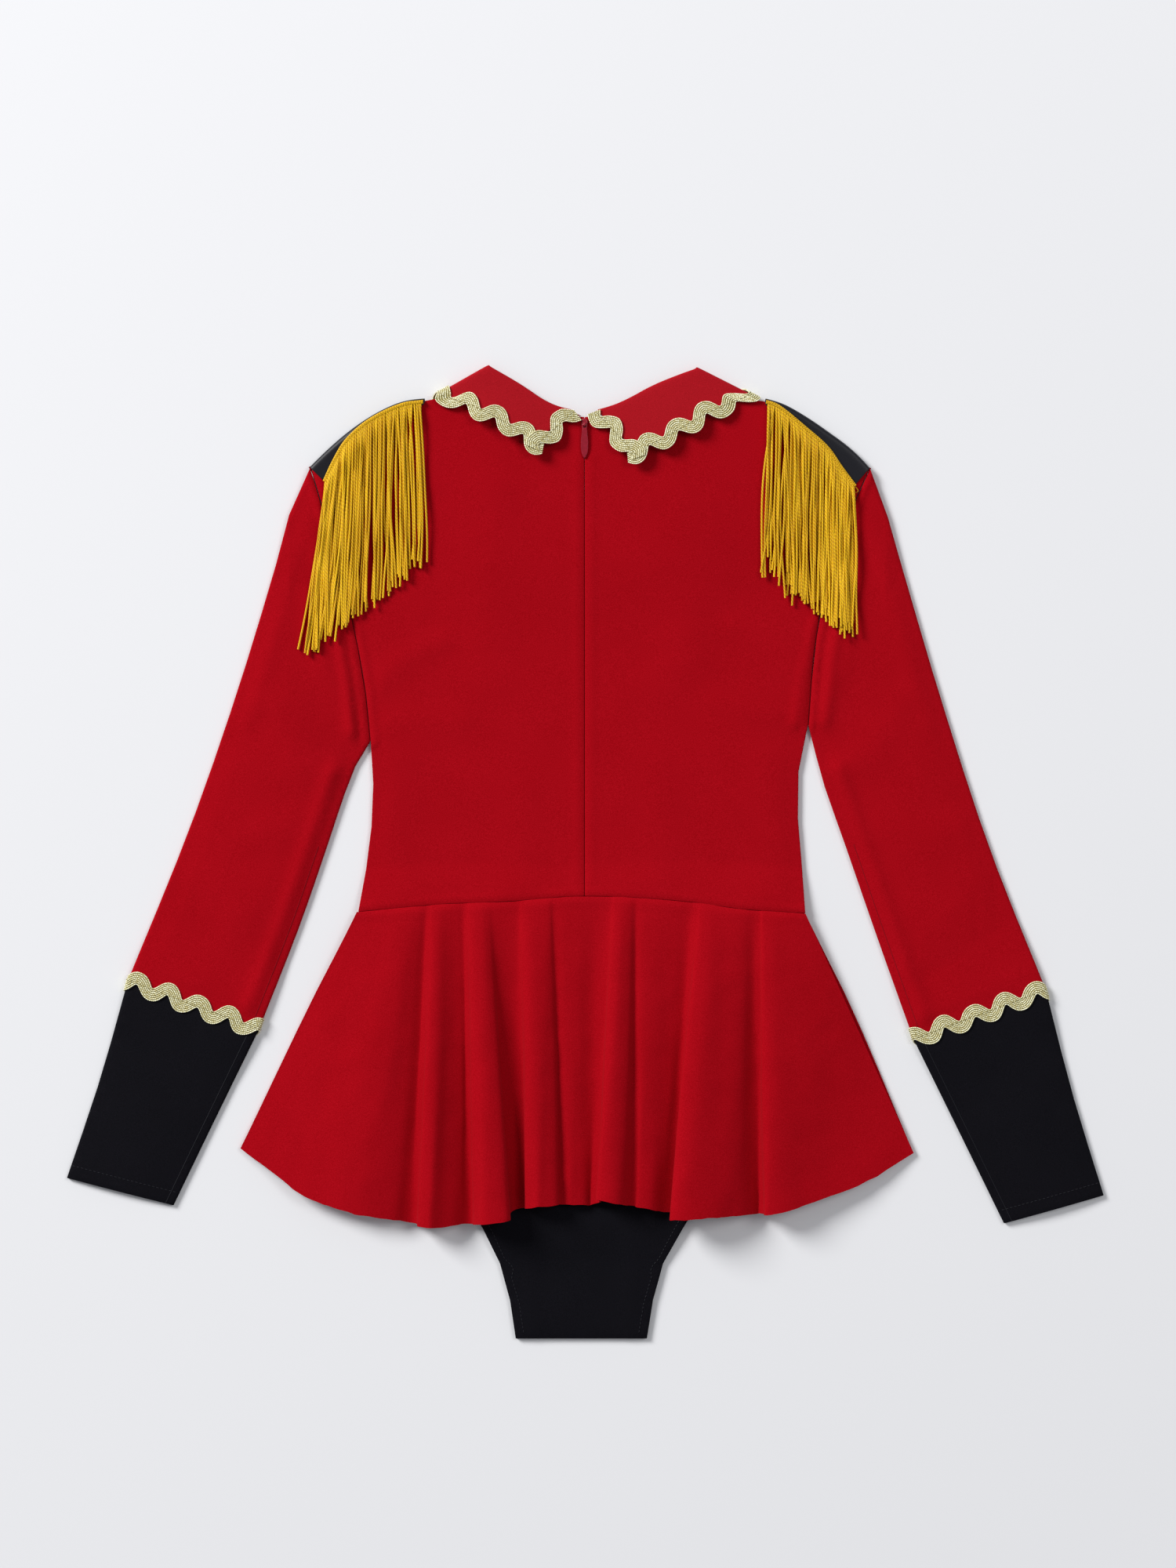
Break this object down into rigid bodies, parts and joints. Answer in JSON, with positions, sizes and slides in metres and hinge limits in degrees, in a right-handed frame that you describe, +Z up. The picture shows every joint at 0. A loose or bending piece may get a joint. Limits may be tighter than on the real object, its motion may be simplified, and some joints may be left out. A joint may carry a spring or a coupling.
{
  "type": "ringmaster costume",
  "caption": "Child's ringmaster leotard costume laid flat with its back up: flared peplum, black cuffs, fringed shoulder straps and a pointed collar edged with gold ric-rac.",
  "frame": {"origin": "on the floor under the middle of the laid out garment", "axes": "+X to the right as seen with the back up, +Y towards the collar, +Z up from the floor"},
  "size_m": [0.6884, 0.646, 0.0183],
  "materials": {
    "red_knit": "brushed stretch knit, matte, finely flecked",
    "black_stretch": "smooth stretch knit, soft sheen",
    "black_satin": "satin ribbon, shiny",
    "gold_braid": "metallic ric-rac braid",
    "gold_fringe": "rayon chainette, silky",
    "red_zip": "lacquered metal"
  },
  "bodies": {
    "garment": {"front_body": "red_knit", "back_left": "red_knit", "back_right": "red_knit", "sleeve_left": "red_knit", "sleeve_right": "red_knit", "cuff_left": "black_stretch", "cuff_right": "black_stretch", "cuff_trim_left": "gold_braid", "cuff_trim_right": "gold_braid", "collar_left": "red_knit", "collar_right": "red_knit", "collar_trim_left": "gold_braid", "collar_trim_right": "gold_braid", "strap_left": "black_satin", "strap_right": "black_satin", "fringe_left": "gold_fringe", "fringe_right": "gold_fringe", "briefs_front": "black_stretch", "briefs_back": "black_stretch", "peplum_front": "red_knit", "peplum_back": "red_knit", "zip_slider": "red_zip"},
    "pull tab": {"zip_pull": "red_zip"}
  },
  "joints": [
    {"name": "pull tab hinge", "type": "hinge", "parent": "garment", "child": "pull tab", "pos_m": [-0.0005, 0.2832, 0.00767], "axis": [-1, 0, 0], "range_deg": [0, 160]}
  ]
}
